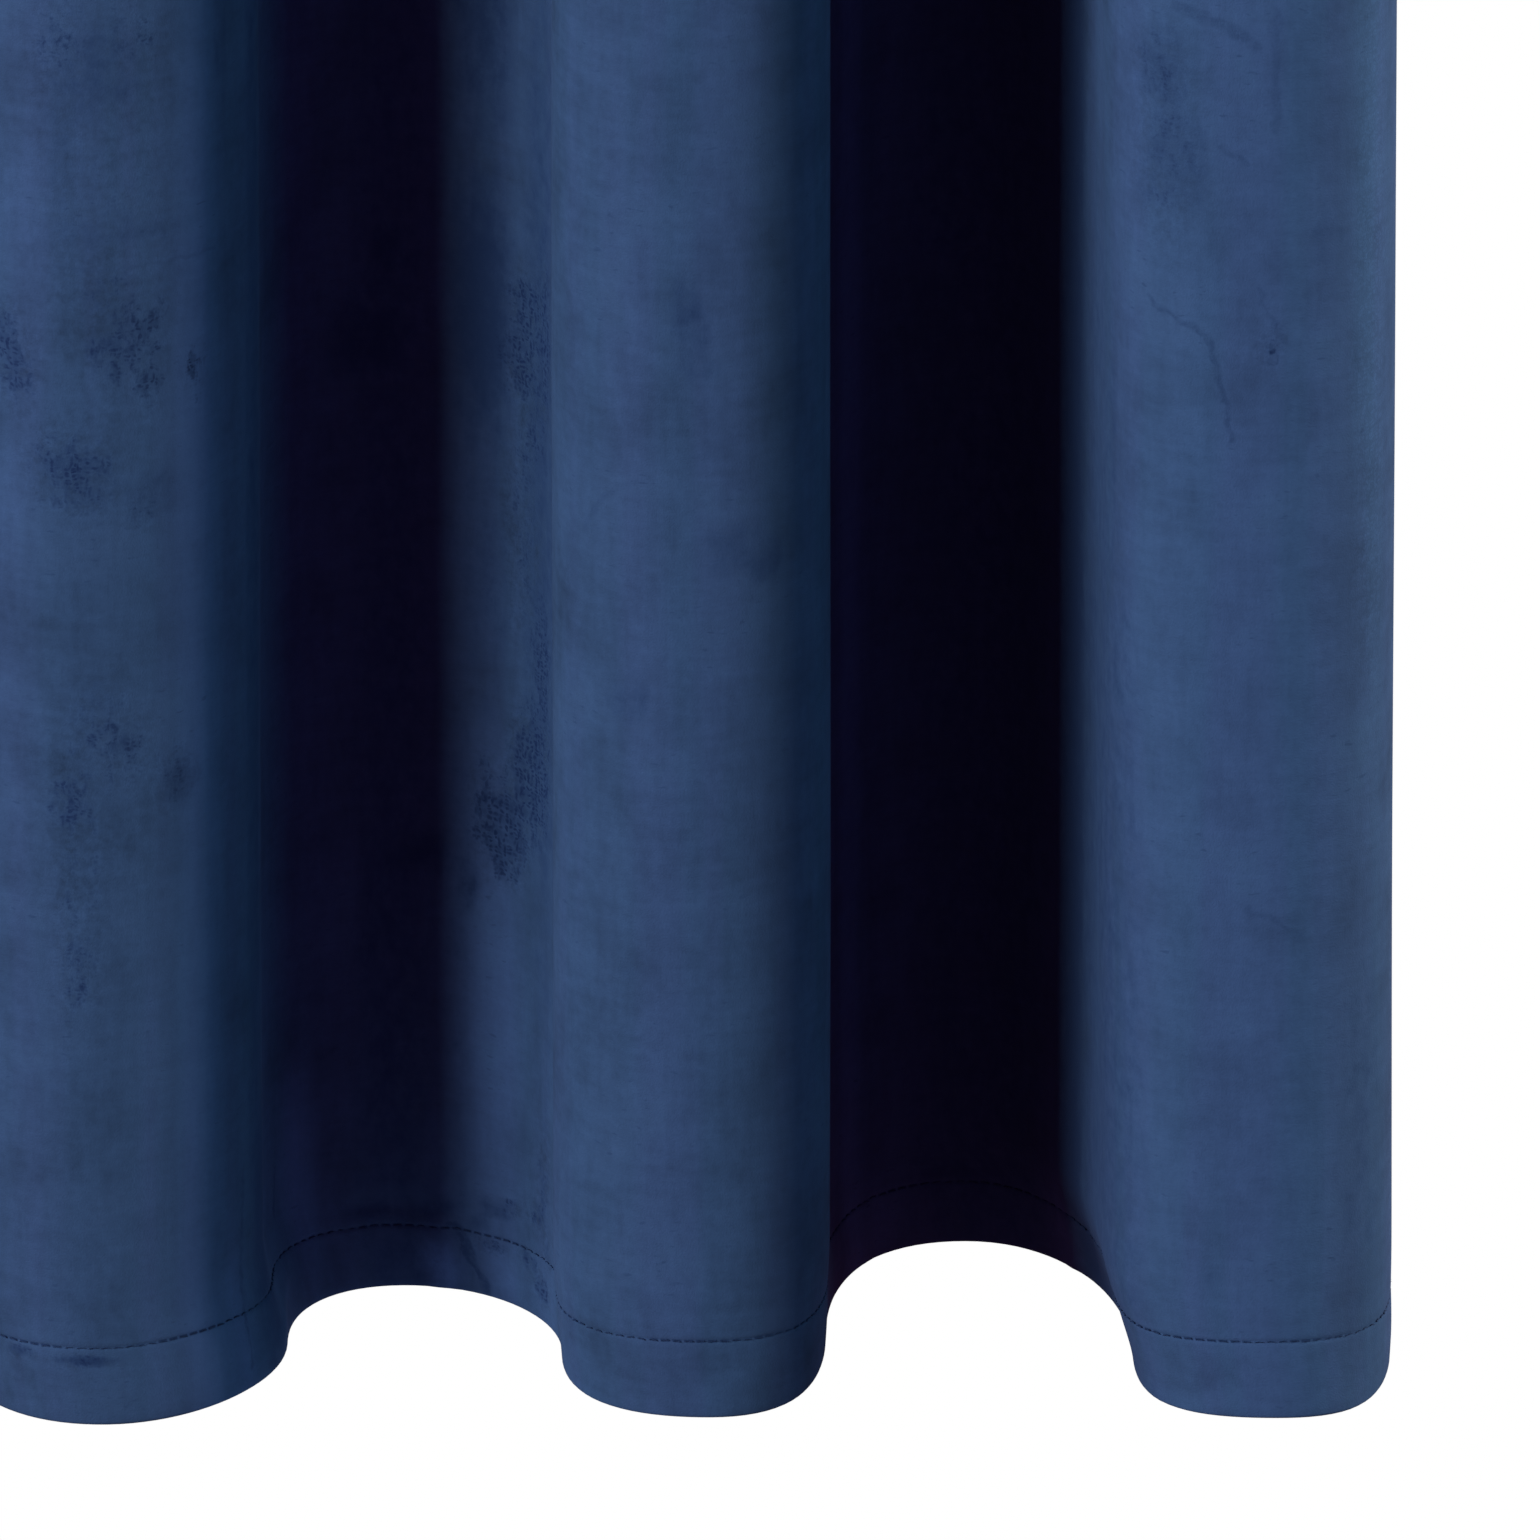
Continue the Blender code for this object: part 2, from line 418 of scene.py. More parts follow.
def faceRelief(station, height, cloth):
    line = cloth.hemLine(station)
    gap = height - line
    trough = np.exp(-((gap / reliefSizes["troughWidth"]) ** 2)) * reliefSizes["troughDepth"]
    puff = np.sin(math.pi * np.clip(height / line, 0.0, 1.0)) * reliefSizes["hemPuff"]
    waveAcross = station / reliefSizes["bodyWaveWide"]
    waveUp = height / reliefSizes["bodyWaveTall"]
    wave = latticePlane(waveAcross, waveUp, reliefSizes["seed"] + 4) * reliefSizes["bodyWave"]
    return puff + puckers(station, gap) + wave - trough - creaseDepth(station, height, cloth)


# Marks where the pile is brushed or crushed the other way, and marks of painted light
# and painted shade: the mark's middle across the panel and over the hem, half width,
# half height and sideways slant in millimetres, then its strength.
MarkPlace = namedtuple("MarkPlace", "across height wide tall slant strength")
crushedMarks = (  # dark broken threads, where the weave shows through the pile
    MarkPlace(-93, 406, 17, 3.6, 0, 1.60),
    MarkPlace(-86, 394, 13, 10, 4, 0.85),
    MarkPlace(-88, 383, 5, 6, 1, 0.65),
    MarkPlace(-79, 377, 6, 6.5, 0, 1.00),
    MarkPlace(-64, 376, 4, 6, -1, 1.00),
    MarkPlace(-125, 386, 7, 16, -4, 1.00),
    MarkPlace(-105, 346, 14, 13, -4, 0.80),
    MarkPlace(-103, 23.8, 9, 2.4, 0, 0.80),
    MarkPlace(-123, 24.8, 5, 2.2, 0, 0.75),
    MarkPlace(-106, 342, 5, 7, -1, 0.85),
    MarkPlace(-82, 332, 6, 8, 0, 0.40),
    MarkPlace(-108, 500, 10, 14, 0, 0.42),
    MarkPlace(-85, 503, 9, 7, -3, 0.42),
    MarkPlace(-76, 496, 5, 5, 0, 0.60),
    MarkPlace(-88, 440, 34, 100, 0, 0.16),
    MarkPlace(-106, 227, 7, 10, 0, 0.85),
    MarkPlace(-92, 250, 13, 13, -4, 0.50),
    MarkPlace(-107, 200, 4, 60, 0, 0.30),
    MarkPlace(-99, 192, 4, 50, 0, 0.24),
    MarkPlace(-72, 231, 10, 11, 0, 0.44),
    MarkPlace(-104, 165, 7, 9, 0, 0.52),
    MarkPlace(-98, 230, 26, 50, 0, 0.12),
    MarkPlace(44, 367, 9, 9, 0, 1.50),
    MarkPlace(42, 346, 10, 8, 0, 1.60),
    MarkPlace(50, 360, 5, 34, 0, 1.20),
    MarkPlace(46, 323, 8, 9, 0, 0.85),
    MarkPlace(49, 240, 7, 26, 0, 1.10),
    MarkPlace(46, 199, 11, 20, 0, 1.90),
    MarkPlace(36, 173, 11, 15, 0, 1.45),
    MarkPlace(29, 190, 5, 9, 0, 0.55),
    MarkPlace(42, 285, 9, 40, 0, 0.34),
    MarkPlace(49, 55, 4, 15, 0, 0.65),
    MarkPlace(50, 28, 3, 5, 0, 0.60),
    MarkPlace(31, 19.5, 7, 2.6, 0, 0.80),
    MarkPlace(44.5, 20, 5, 3.6, -2, 0.90),
    MarkPlace(49, 13, 4.5, 5, -1, 1.00),
    MarkPlace(38.6, 36, 5, 3, 0, 0.80),
    MarkPlace(47.5, 39, 5, 5, 0, 1.00),
    MarkPlace(251, 487, 10, 16, 0, 0.36),
    MarkPlace(253, 460, 14, 40, 0, 0.26),
    MarkPlace(288, 388, 3.5, 3.5, 0, 1.20),
)
# Soft clouds where the pile is brushed the other way, and painted shade: the tall bands darken
# the hollows and the walls that the light doesn't reach, and some patches darken the puckers by
# the hem.
brushedPileAndPaintedShadeMarks = (  # brushed pile, and painted shade
    MarkPlace(-94, 490, 18, 22, 0, 0.40),
    MarkPlace(-76, 496, 6, 5, 0, 0.45),
    MarkPlace(-88, 392, 15, 12, 0, 0.42),
    MarkPlace(-104, 345, 16, 14, -4, 0.44),
    MarkPlace(-125, 386, 8, 16, -4, 0.45),
    MarkPlace(-70, 230, 9, 10, 0, 0.62),
    MarkPlace(-78, 336, 15, 13, 0, 0.34),
    MarkPlace(-86, 432, 34, 10, 0, 0.30),
    MarkPlace(-109, 470, 8, 45, 0, 0.26),
    MarkPlace(-97, 262, 12, 16, 0, 0.24),
    MarkPlace(-102, 23.6, 10, 2.2, 0, 0.85),
    MarkPlace(-124, 24.6, 4.5, 2.0, 0, 0.80),
    MarkPlace(-45.2, 250, 9, 900, 0, 0.62),
    MarkPlace(-44.6, 55, 9, 55, 0, 0.95),
    MarkPlace(-56, 520, 5, 110, 0, 0.35),
    MarkPlace(20, 250, 9, 900, 0, 0.30),
    MarkPlace(126, 250, 14, 900, 0, 0.16),
    MarkPlace(50, 330, 16, 260, 0, 0.62),
    MarkPlace(29, 362, 13, 60, 0, 0.90),
    MarkPlace(30, 480, 15, 75, 0, 0.62),
    MarkPlace(30, 265, 12, 70, 0, 0.40),
    MarkPlace(224, 250, 14, 900, 0, 0.92),
    MarkPlace(232, 130, 50, 330, 0, 0.56),
    MarkPlace(-1, 250, 15, 900, 0, 0.50),
    MarkPlace(-8, 346, 16, 16, 0, 0.85),
    MarkPlace(-3, 380, 6, 5, 0, 0.85),
    MarkPlace(8, 160, 12, 6, 0, 0.90),
    MarkPlace(23, 154, 5, 8, -3, 0.75),
    MarkPlace(-9, 28, 9, 4, 0, 0.60),
    MarkPlace(13, 30, 9, 5, 3, 0.75),
    MarkPlace(27, 27, 6, 4, 0, 0.45),
    MarkPlace(33, 364, 4, 5, 0, 0.60),
    MarkPlace(45, 205, 10, 20, 0, 0.30),
    MarkPlace(33, 34, 8, 4, -3, 0.60),
    MarkPlace(97, 400, 7, 14, -3, 0.62),
    MarkPlace(123, 312, 7, 9, 0, 0.66),
    MarkPlace(113, 316, 15, 11, 0, 0.42),
    MarkPlace(99, 380, 10, 8, 0, 0.34),
    MarkPlace(77, 260, 10, 12, 0, 0.38),
    MarkPlace(77, 164, 9, 7, 0, 0.30),
    MarkPlace(196, 250, 30, 900, 0, 0.55),
    MarkPlace(188, 26, 20, 4, 0, 0.70),
    MarkPlace(252, 486, 12, 18, 0, 0.50),
    MarkPlace(256, 455, 15, 22, 0, 0.44),
    MarkPlace(246, 440, 4, 6, 0, 0.40),
    MarkPlace(307, 428, 10, 15, 0, 0.30),
    MarkPlace(288, 388, 3.5, 3.5, 0, 0.40),
    MarkPlace(236, 340, 3, 60, 0, 0.60),
    MarkPlace(320, 90, 14, 130, 0, 0.30),
    MarkPlace(270, 52, 7, 8, 0, 0.25),
)
# Mostly painted light: the tall bands brighten the crests, their flanks and the right rim as the
# light would, and the patches by the hem light up the puckers. The small marks on the left crest
# are lighter swaths of pile.
lighterPileAndPaintedLightMarks = (  # painted light, and a few lighter swaths of pile
    MarkPlace(278, 260, 40, 900, 0, 1.8),
    MarkPlace(92, 200, 22, 900, 0, 0.6),
    MarkPlace(317, 520, 16, 220, 0, 1.4),
    MarkPlace(-71, 150, 19, 900, 0, 1.9),
    MarkPlace(-64.2, 150, 11.5, 900, 0, 4.6),
    MarkPlace(-55, 26, 11, 42, 0, 3.4),
    MarkPlace(-33, 48, 8, 38, 0, 3.4),
    MarkPlace(15, 9, 7, 10, -2, 4.6),
    MarkPlace(36, 11, 7, 9, -3, 1.6),
    MarkPlace(32, 108, 14, 62, 0, 2.1),
    MarkPlace(-100, 372, 12, 13, -6, 0.8),
    MarkPlace(-126, 335, 8, 24, 0, 0.9),
    MarkPlace(-122, 440, 9, 24, 5, 0.8),
    MarkPlace(-82, 300, 14, 30, 0, 0.6),
    MarkPlace(150, 250, 8, 900, 0, 2.6),
    MarkPlace(160, 12, 9, 14, 0, 1.6),
    MarkPlace(222, 12, 6, 16, 0, 1.6),
)
paintedGlintMarks = (  # painted glints: light specks where single tufts would catch the light
    MarkPlace(321, 400, 11, 180, 0, 1.0),
    MarkPlace(46, 205, 12, 40, 0, 0.6),
    MarkPlace(-88, 440, 30, 90, 0, 0.3),
)

# Dark lines: fine lines in the pile, and the last three, by the hem, which are painted
# shade of small creases and puckers. Points across and over the hem in millimetres, then
# the line's half width and strength.
DarkLine = namedtuple("DarkLine", "points wide strength")
darkLines = (
    DarkLine(((248, 404), (252, 400), (267, 393), (270, 380), (273, 366), (275, 355)), 1.8, 0.46),
    DarkLine(((257, 510), (272, 505), (282, 497)), 3.2, 0.42),
    DarkLine(((289.5, 510), (289.5, 468)), 2.6, 0.36),
    DarkLine(((272, 461), (279, 455)), 2.2, 0.42),
    DarkLine(((284, 410), (293, 390)), 1.8, 0.32),
    DarkLine(((281, 186), (299, 175)), 2.2, 0.34),
    DarkLine(((63, 317), (67, 328), (73, 336), (79, 338)), 2.0, 0.32),
    DarkLine(((-110.5, 420), (-58, 418)), 1.2, 0.30),
    DarkLine(((-39.5, 53), (-39.5, 35)), 1.0, 0.70),
    DarkLine(((-49.5, 80), (-47, 8)), 1.4, 0.50),
    DarkLine(((19, 24), (24, 14), (30, 3)), 3.2, 0.85),
)

# The names under which the mesh keeps the marks' strengths.
pileMarksAndPaintedShading = {
    "crushed": crushedMarks,
    "brushedAndShade": brushedPileAndPaintedShadeMarks,
    "lighter": lighterPileAndPaintedLightMarks,
    "paintedGlint": paintedGlintMarks,
}


def markStrength(marks, station, height, cloth):  # where marks meet, the strongest holds
    total = np.zeros_like(station)
    for mark in marks:
        middle = cloth.facing(mark.across * mm, mark.height * mm)
        rise = (height - mark.height * mm) / (mark.tall * mm)
        side = (station - middle - rise * mark.slant * mm) / (mark.wide * mm)
        spot = np.exp(-((side**2 + rise**2) ** 1.5))  # level in the middle, soft at the rim
        total = np.maximum(total, mark.strength * spot)
    return total


# The cloth as one closed sheet, finer at the hem, with rounded edges all round.

meshSizes = {
    "columnSpacing": 4.05 * mm,
    "sideHemColumns": (6, 12, 18, 25, 26, 27),  # in from each side, in millimetres
    "edgeSteps": 4,
    "rowsBesideLine": (-4.5, -3, -2, -1.2, -0.7, -0.3, 0, 0.3, 0.7, 1.2, 2, 3, 4.5, 6),
    "topHemRows": (45, 32, 31, 30, 28, 15),  # down from the top, in millimetres
    "rowsFollowLineTo": (30 * mm, 90 * mm),  # up here the rows become level
}

# Bands of even rows of points: from, to and spacing, in millimetres over the bottom.
rowBands = (
    (4, 22.8, 2.4),
    (35.8, 60, 2.8),
    (60, 120, 5),
    (120, 555, 10),
    (560, 2074, 36),
)


def edgeSteps(thickness):  # distances in from an edge that round it off
    turn = np.linspace(0.0, math.pi / 2, meshSizes["edgeSteps"] + 1)
    return thickness / 2 * (1 - np.cos(turn))


def columnPlaces(width):
    rounded = edgeSteps(clothSizes["hemThickness"])
    left = np.concatenate((rounded, np.array(meshSizes["sideHemColumns"]) * mm))
    field = width - 2 * left[-1]
    count = round(field / meshSizes["columnSpacing"]) + 1
    middle = left[-1] + np.linspace(0.0, field, count)
    return np.concatenate((left[:-1], middle, width - left[:-1][::-1]))


def rowPlaces():
    drop = clothSizes["drop"]
    rounded = edgeSteps(clothSizes["hemThickness"])
    beside = clothSizes["hemAtFront"] + np.array(meshSizes["rowsBesideLine"]) * mm
    topHem = drop - np.array(meshSizes["topHemRows"]) * mm
    bands = [np.arange(low * mm, high * mm, gap * mm) for low, high, gap in rowBands]
    return np.concatenate((rounded, bands[0], beside, *bands[1:], topHem, drop - rounded[::-1]))


def sheetThickness(station, height, cloth):
    fromSide = np.minimum(station, cloth.width - station)
    fromTop = clothSizes["drop"] - height
    step = clothSizes["hemStep"]
    fromLine = height - cloth.hemLine(station) - step
    side = 1 - ease(fromSide, clothSizes["sideHem"], clothSizes["sideHem"] + step)
    top = 1 - ease(fromTop, clothSizes["topHem"], clothSizes["topHem"] + step)
    bottom = 1 - ease(fromLine, 0.0, step)
    hem = np.maximum(np.maximum(side, top), bottom)
    thin, thick = clothSizes["clothThickness"], clothSizes["hemThickness"]
    return thin + (thick - thin) * hem


def edgeRounding(station, height, cloth):  # 0 at the very edge, 1 from half a hem's thickness in
    half = clothSizes["hemThickness"] / 2
    fromSide = np.minimum(station, cloth.width - station)
    fromEnd = np.minimum(height, clothSizes["drop"] - height)
    inward = np.clip(np.minimum(fromSide, fromEnd) / half, 0.0, 1.0)
    return np.sqrt(1 - (1 - inward) ** 2)


def makeCloth(cloth):
    columns = columnPlaces(cloth.width)
    rows = rowPlaces()
    station, height = np.meshgrid(columns, rows)
    # rows near the hem follow the sewn line, which hangs lower at the back folds
    shift = cloth.hemLine(station) / clothSizes["hemAtFront"] - 1
    height = height * (1 + shift * (1 - ease(height, *meshSizes["rowsFollowLineTo"])))
    thickness = sheetThickness(station, height, cloth)
    rounding = edgeRounding(station, height, cloth)
    middle = -thickness / 2
    relief = faceRelief(station, height, cloth)
    front = cloth.place(station, height, middle * (1 - rounding) + relief * rounding)
    behind = thickness - relief * reliefSizes["onBack"]
    backOut = middle * (1 - rounding) - behind * rounding
    back = cloth.place(station, height, backOut)

    rowCount, columnCount = station.shape
    frontIndex = np.arange(station.size).reshape(station.shape)
    backIndex = frontIndex.copy()
    inner = (slice(1, -1), slice(1, -1))
    innerShape = (rowCount - 2, columnCount - 2)
    backIndex[inner] = station.size + np.arange(math.prod(innerShape)).reshape(innerShape)
    points = np.concatenate((front.reshape(-1, 3), back[inner].reshape(-1, 3)))
    flat = np.stack((station, height), axis=2)
    flat = np.concatenate((flat.reshape(-1, 2), flat[inner].reshape(-1, 2)))

    def quads(index, flipped):
        corners = (index[:-1, :-1], index[:-1, 1:], index[1:, 1:], index[1:, :-1])
        corners = corners[::-1] if flipped else corners
        return np.stack(corners, axis=2).reshape(-1, 4)

    faces = np.concatenate((quads(frontIndex, False), quads(backIndex, True)))
    mesh = bpy.data.meshes.new("curtainCloth")
    mesh.from_pydata(points.tolist(), [], faces.tolist())
    mesh.shade_smooth()
    mesh.materials.append(pileClothMaterial(cloth))
    mesh.materials.append(clothBackMaterial())
    half = len(faces) // 2
    mesh.polygons.foreach_set("material_index", np.repeat((0, 1), half).astype(np.int32))
    corners = np.zeros(len(mesh.loops), dtype=np.int32)
    mesh.loops.foreach_get("vertex_index", corners)
    layer = mesh.uv_layers.new(name="flatCloth")
    layer.data.foreach_set("uv", flat[corners].ravel())
    for name, marks in pileMarksAndPaintedShading.items():
        addPointValues(mesh, name, markStrength(marks, flat[:, 0], flat[:, 1], cloth))
    addPointValues(mesh, "lineGap", np.abs(flat[:, 1] - cloth.hemLine(flat[:, 0])))
    print("cloth:", len(points), "points,", len(faces) * 2, "triangles")
    return addToScene("curtainCloth", mesh)


def addPointValues(mesh, name, values):
    attribute = mesh.attributes.new(name, "FLOAT", "POINT")
    attribute.data.foreach_set("value", values.astype(np.float32))


# Sewing along the hems: one joined mesh of thread stitches for each face of the cloth.

stitchSizes = {
    "pitch": 4.0 * mm,
    "length": 2.75 * mm,
    "uneven": 0.12,  # share by which a stitch may be shorter or stray
    "radius": 0.27 * mm,
    "boldness": 0.85,  # usual share of the radius
    "boldnessChange": 0.4,  # most that it changes along the hem
    "boldnessWave": 22 * mm,  # how far apart the tighter and looser stretches are
    "sink": 0.5 * mm,  # how far the thread's ends dive below its middle
    "strayTurn": 4,  # how much more a stitch's ends stray than its middle
    "lift": 0.5,  # share of its radius by which the thread lies over the cloth
    "insetFromHem": 2.0 * mm,
    "sides": 5,
    "rings": (-0.5, -0.36, 0.0, 0.36, 0.5),  # along a stitch
    "taper": (0.5, 0.9, 1.0, 0.9, 0.5),  # the thread's thickness at each ring
}


def stitchRun(stations, heights, outward, horizontal, cloth):
    rings = np.array(stitchSizes["rings"])
    rng = np.random.default_rng(len(stations))
    strays = rng.uniform(-1.0, 1.0, (3, len(stations), 1)) * stitchSizes["uneven"]
    along = rings * stitchSizes["length"] * (1 + strays[0])
    side = np.sign(outward)
    dive = stitchSizes["sink"] * (np.abs(rings) * 2) ** 3
    aslant = (strays[1] + strays[2] * rings * stitchSizes["strayTurn"]) * mm
    station = stations[:, None] + (along if horizontal else aslant)
    height = heights[:, None] + (aslant if horizontal else along)
    out = outward[:, None] - side[:, None] * dive
    centre = cloth.place(station, height, out)
    plan = cloth.read(cloth.normals, station, height)
    normal = np.concatenate((plan, np.zeros(plan.shape[:-1] + (1,))), axis=-1)
    tangent = np.gradient(centre, axis=1)
    tangent /= np.linalg.norm(tangent, axis=-1, keepdims=True)
    aside = np.cross(tangent, normal)
    turn = np.linspace(0.0, 2 * math.pi, stitchSizes["sides"], endpoint=False)
    change = lattice(stations / stitchSizes["boldnessWave"], len(stations))
    boldness = stitchSizes["boldness"] + stitchSizes["boldnessChange"] * change
    taper = np.array(stitchSizes["taper"])[None, :, None, None]
    radius = stitchSizes["radius"] * boldness[:, None, None, None] * taper
    circle = normal[:, :, None] * np.cos(turn)[:, None]
    circle = circle + aside[:, :, None] * np.sin(turn)[:, None]
    return centre[:, :, None] + circle * radius


def sewHems(name, cloth, onFront):
    pitch = stitchSizes["pitch"]
    across = np.arange(pitch / 2, cloth.width - pitch / 2, pitch)
    underTopHem = clothSizes["drop"] - clothSizes["topHem"]
    upward = np.arange(clothSizes["hemAtFront"] + pitch, underTopHem - pitch, pitch)
    fromSide = clothSizes["sideHem"] - stitchSizes["insetFromHem"]
    fromBottom = underTopHem + stitchSizes["insetFromHem"]
    runs = (
        (across, cloth.hemLine(across), True),
        (across, np.full_like(across, fromBottom), True),
        (np.full_like(upward, fromSide), upward, False),
        (np.full_like(upward, cloth.width - fromSide), upward, False),
    )
    tubes = []
    for stations, heights, horizontal in runs:
        depth = faceRelief(stations, heights, cloth)
        lift = stitchSizes["radius"] * stitchSizes["lift"]
        if not onFront:
            behind = sheetThickness(stations, heights, cloth)
            depth = depth * reliefSizes["onBack"] - behind
            lift = -lift
        tubes.append(stitchRun(stations, heights, depth + lift, horizontal, cloth))
    points = np.concatenate(tubes)
    count, rings, sides = points.shape[:3]
    index = np.arange(count * rings * sides).reshape(count, rings, sides)
    after = np.roll(index, -1, axis=2)
    walls = np.stack((index[:, :-1], after[:, :-1], after[:, 1:], index[:, 1:]), axis=3)
    faces = walls.reshape(-1, 4).tolist()
    faces += index[:, 0, ::-1].tolist() + index[:, -1].tolist()
    mesh = bpy.data.meshes.new(name)
    mesh.from_pydata(points.reshape(-1, 3).tolist(), [], faces)
    mesh.shade_smooth()
    mesh.materials.append(threadMaterial())
    print(name + ":", count, "stitches")
    return addToScene(name, mesh)


# Finishes: the pile with its marks, the back of the cloth, and the thread.

pileColours = {
    "blue": (0.0345, 0.0762, 0.1745, 1),
    "violet": (0.0366, 0.0740, 0.1775, 1),
    "slate": (0.0332, 0.0708, 0.1610, 1),
    # the brushed colour below also paints shade in the hollows, on unlit walls and by the hem
    "brushedAndShade": (0.0162, 0.0405, 0.1160, 1),
    "crushed": (0.0085, 0.0245, 0.0880, 1),
}

# Soft noise on the flat cloth: fineness across and up (under 1 draws it out), then
# scale, detail and roughness.
pileNoise = {
    "bands": (1.0, 0.05, 42.0, 2.0, 0.5),
    "streaks": (1.0, 0.16, 230.0, 2.0, 0.5),
    "crossStreaks": (0.2, 1.0, 260.0, 2.0, 0.5),
    "mottle": (1.0, 1.0, 26.0, 4.0, 0.6),
    "speckle": (1.0, 1.0, 330.0, 3.0, 0.65),
    "grain": (1.0, 1.0, 1500.0, 1.0, 0.5),
    "wander": (1.0, 1.0, 120.0, 2.0, 0.5),
    "shiver": (1.0, 0.8, 360.0, 2.0, 0.5),
    "ragged": (1.0, 0.7, 170.0, 4.0, 0.65),
    "flecks": (0.45, 1.3, 400.0, 1.0, 0.5),
    "seamChange": (1.0, 1.0, 34.0, 2.0, 0.5),
}

# How much each noise makes the pile darker and lighter.
pileShade = {
    "streaks": 0.22,
    "crossStreaks": 0.2,
    "mottle": 0.85,
    "grain": 0.08,
    "bands": 0.16,
}

# The weave under the pile: dots and upright dashes in uneven rows. A stretch over 1
# makes them wider than tall, and each has its edge and its chance of showing.
weaveMarks = {
    "dots": {
        "pitch": 2.2 * mm,
        "stretch": 1.45,
        "stray": 0.6,
        "edge": (0.15, 0.55),
        "chance": (0.0, 0.7),
    },
    "dashes": {
        "pitch": 2.6 * mm,
        "stretch": 0.36,
        "stray": 0.5,
        "edge": (0.08, 0.36),
        "chance": (0.1, 0.8),
    },
}

# Where soft steps start and end.
pileSteps = {
    "violet": (0.38, 0.62),
    "slate": (0.50, 0.80),
    "crushedFoot": (0.0, 0.4),  # a mark is broken up less where it is faint
    "brushedAndShadeFoot": (0.0, 0.3),
    "worn": (0.0, 0.2),
    "reach": (0.06, 0.85),
    "bold": (0.5, 1.2),
    "brokenLine": (0.35, 0.6),
    "line": (0.2, 1.2),  # in half widths of the line
    "flecks": (0.66, 0.82),
    "fleckPatches": (0.45, 0.62),
    "seam": (0.15 * mm, 0.8 * mm),
    "betweenStitches": (0.55, 0.95),
    "seamChange": (0.42, 0.58),
}

# How strongly each part of the pile's look shows.
pileAmounts = {
    "wander": 4 * mm,  # how far the weave's rows stray
    "shiver": (2 * mm, -1.4 * mm, 0.0),
    "raggedReach": 2.4,
    "mottledReach": 0.4,
    "raggedBold": 1.5,
    "imprint": 0.62,
    "boldImprint": 0.36,
    "imprintEverywhere": 0.06,
    "raggedCloud": 0.9,
    "mottledCloud": 0.5,
    "faintestLine": 0.6,
    "fill": 0.6,
    "fillLoss": 0.08,
    "flecks": 0.42,
    "rough": 0.2,
    "wornRough": 0.4,
    "lighter": 0.2,
    "glint": 0.28,
    "seam": 0.72,
    "grainHeight": 0.5,
    "streakHeight": 0.35,
    "bump": 0.5,
    "bumpDepth": 0.35 * mm,
    "roughness": 0.86,
    "crushedGloss": 0.14,
}


def nearLine(desk, flat, line, cloth):  # 1 on a dark line, 0 away from it
    nearest = None
    ends = [(cloth.facing(across * mm, up * mm), up * mm) for across, up in line.points]
    for start, end in zip(ends, ends[1:]):
        run = (end[0] - start[0], end[1] - start[1], 0.0)
        unit = tuple(part / (run[0] ** 2 + run[1] ** 2) for part in run)
        offset = flat - (start[0], start[1], 0.0)
        along = desk.measure("DOT_PRODUCT", offset, unit)
        clamped = {"operation": "ADD", "use_clamp": True}
        along = desk.node("ShaderNodeMath", clamped, {0: along, 1: 0.0})
        foot = desk.node("ShaderNodeVectorMath", {"operation": "SCALE"}, {0: run, "Scale": along})
        gap = desk.measure("DISTANCE", offset, foot)
        nearest = gap if nearest is None else nearest.least(gap)
    inner, outer = pileSteps["line"]
    return (1 - nearest.between(line.wide * inner * mm, line.wide * outer * mm)) * line.strength


def drawnLines(desk, flat, cloth):
    lines = None
    for line in darkLines:
        drawn = nearLine(desk, flat, line, cloth)
        lines = drawn if lines is None else lines.most(drawn)
    return lines


def weaveShowing(desk, flat, kind):  # 1 on the weave's marks of one kind
    marks = weaveMarks[kind]
    spots = desk.spots(flat, marks["stretch"], marks["pitch"], marks["stray"])
    chance = spots.also("Color").part("X").between(*marks["chance"])
    return (1 - spots.between(*marks["edge"])) * chance


def sewnShade(desk, flat, seamChange):  # painted shade along the sewn line, darkest under the stitches
    turns = 2 * math.pi / stitchSizes["pitch"]
    wave = (flat.part("X") * turns + math.pi / 2).sine()
    stitches = 1 - wave.between(*pileSteps["betweenStitches"])
    sewn = (1 - desk.pointValue("lineGap").between(*pileSteps["seam"])) * stitches
    return sewn * seamChange.between(*pileSteps["seamChange"]) * pileAmounts["seam"]


